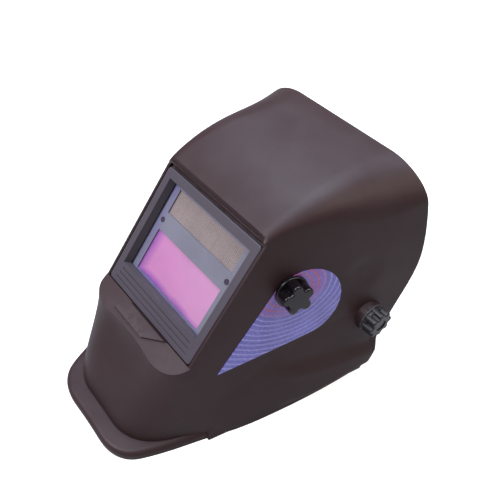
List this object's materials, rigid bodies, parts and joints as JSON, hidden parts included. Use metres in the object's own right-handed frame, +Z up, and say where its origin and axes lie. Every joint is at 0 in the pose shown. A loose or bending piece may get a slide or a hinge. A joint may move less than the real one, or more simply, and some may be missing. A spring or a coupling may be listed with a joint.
{
  "type": "welding helmet",
  "caption": "Auto-darkening welding helmet: moulded shell with a filter window, a side shade control and an adjustable ratchet headgear that pivots inside.",
  "frame": {"origin": "on the table, under the middle of the whole helmet's bounding box", "axes": "+X to the wearer's left, -Y towards the viewing window, +Z up as the helmet rests on its chin lip and lower rim"},
  "size_m": [0.2516, 0.3748, 0.2078],
  "materials": {
    "shell_plastic": "satin black-brown moulded",
    "bezel_plastic": "satin",
    "clear_lens": "clear polycarbonate",
    "gasket_foam": "matt",
    "cartridge_plastic": "satin",
    "filter_glass": "coated filter glass",
    "solar_cell": "glossy",
    "sensor_eye": "glossy",
    "board": "satin",
    "cell_steel": "satin",
    "spring_steel": "bright",
    "control_plastic": "satin",
    "label_film": "printed film",
    "knob_gloss": "glossy black",
    "pot_metal": "satin",
    "nut_steel": "plated",
    "brass_insert": "satin",
    "cable_rubber": "satin",
    "knob_satin": "satin",
    "washer_plastic": "satin",
    "headgear_plastic": "satin nylon",
    "pad_fabric": "soft padded cloth",
    "rivet_metal": "satin"
  },
  "bodies": {
    "shell": {"helmet_shell": "shell_plastic", "front_bezel": "bezel_plastic", "outer_cover_lens": "clear_lens", "lens_gasket": "gasket_foam", "filter_holder": "bezel_plastic", "cartridge_front_housing": "cartridge_plastic", "cartridge_rear_housing": "cartridge_plastic", "viewing_filter": "filter_glass", "solar_panel": "solar_cell", "light_sensors": "sensor_eye", "circuit_board": "board", "battery_cells": "cell_steel", "inner_cover_lens": "clear_lens", "side_label": "label_film", "shade_potentiometer": "pot_metal", "potentiometer_nut": "nut_steel", "shade_control_lead": "cable_rubber", "lead_grommet": "gasket_foam", "pivot_studs": "nut_steel", "outer_washers": "washer_plastic", "inner_washers": "washer_plastic"},
    "bail": {"cartridge_bail": "spring_steel"},
    "sensitivity": {"sensitivity_dial": "control_plastic"},
    "delay": {"delay_switch": "control_plastic"},
    "shade_control": {"potentiometer_shaft": "pot_metal", "shade_knob": "knob_gloss"},
    "tension_left": {"tension_knob_left": "knob_satin", "tension_nut_left": "brass_insert"},
    "tension_right": {"tension_knob_right": "knob_satin", "tension_nut_right": "brass_insert"},
    "headgear": {"brow_band": "headgear_plastic", "side_arm_left": "headgear_plastic", "side_arm_right": "headgear_plastic", "crown_strap_left": "headgear_plastic", "crown_strap_right": "headgear_plastic", "crown_snap_pins": "headgear_plastic", "headgear_rivets": "rivet_metal", "band_keepers": "headgear_plastic", "sweatband": "pad_fabric", "ratchet_housing": "headgear_plastic", "ratchet_cover": "headgear_plastic", "ratchet_screws": "rivet_metal", "nape_pad": "pad_fabric"},
    "tail_left": {"band_tail_left": "headgear_plastic"},
    "tail_right": {"band_tail_right": "headgear_plastic"},
    "ratchet": {"ratchet_pinion": "control_plastic", "ratchet_knob": "knob_satin"}
  },
  "joints": [
    {"name": "headgear_flip", "type": "hinge", "parent": "shell", "child": "headgear", "pos_m": [0, 0.0607, 0.072], "axis": [1, 0, 0], "range_deg": [-40, 45]},
    {"name": "bail_swing", "type": "hinge", "parent": "shell", "child": "bail", "pos_m": [0, -0.0147, 0.17032], "axis": [1, 0, 0], "range_deg": [0, 25]},
    {"name": "sensitivity_turn", "type": "hinge", "parent": "shell", "child": "sensitivity", "pos_m": [-0.038, -0.03379, 0.1502], "axis": [0, -0.7593, 0.6508], "range_deg": [-135, 135]},
    {"name": "delay_slide", "type": "slide", "parent": "shell", "child": "delay", "axis": [1, 0, 0], "range_m": [-0.004, 0.004]},
    {"name": "shade_turn", "type": "hinge", "parent": "shell", "child": "shade_control", "pos_m": [0.08104, -0.0143, 0.138], "axis": [0.9552, -0.2246, 0.1925], "range_deg": [-135, 135]},
    {"name": "tension_left_turn", "type": "hinge", "parent": "shell", "child": "tension_left", "pos_m": [0.11378, 0.0607, 0.072], "axis": [1, 0, 0], "range_deg": [0, 360]},
    {"name": "tension_right_turn", "type": "hinge", "parent": "shell", "child": "tension_right", "pos_m": [-0.11378, 0.0607, 0.072], "axis": [-1, 0, 0], "range_deg": [0, 360]},
    {"name": "ratchet_turn", "type": "hinge", "parent": "headgear", "child": "ratchet", "pos_m": [0, 0.0807, 0.072], "axis": [0, 1, 0], "range_deg": [-180, 180]},
    {"name": "tail_left_slide", "type": "hinge", "parent": "headgear", "child": "tail_left", "pos_m": [0, 0.0807, 0.072], "axis": [0, 0, 1], "range_deg": [-11, 11]},
    {"name": "tail_right_slide", "type": "hinge", "parent": "headgear", "child": "tail_right", "pos_m": [0, 0.0807, 0.072], "axis": [0, 0, 1], "range_deg": [-11, 11]}
  ],
  "couplings": [
    {"joint": "tail_left_slide", "follows": "ratchet_turn", "ratio": -0.060976},
    {"joint": "tail_right_slide", "follows": "ratchet_turn", "ratio": 0.060976}
  ]
}
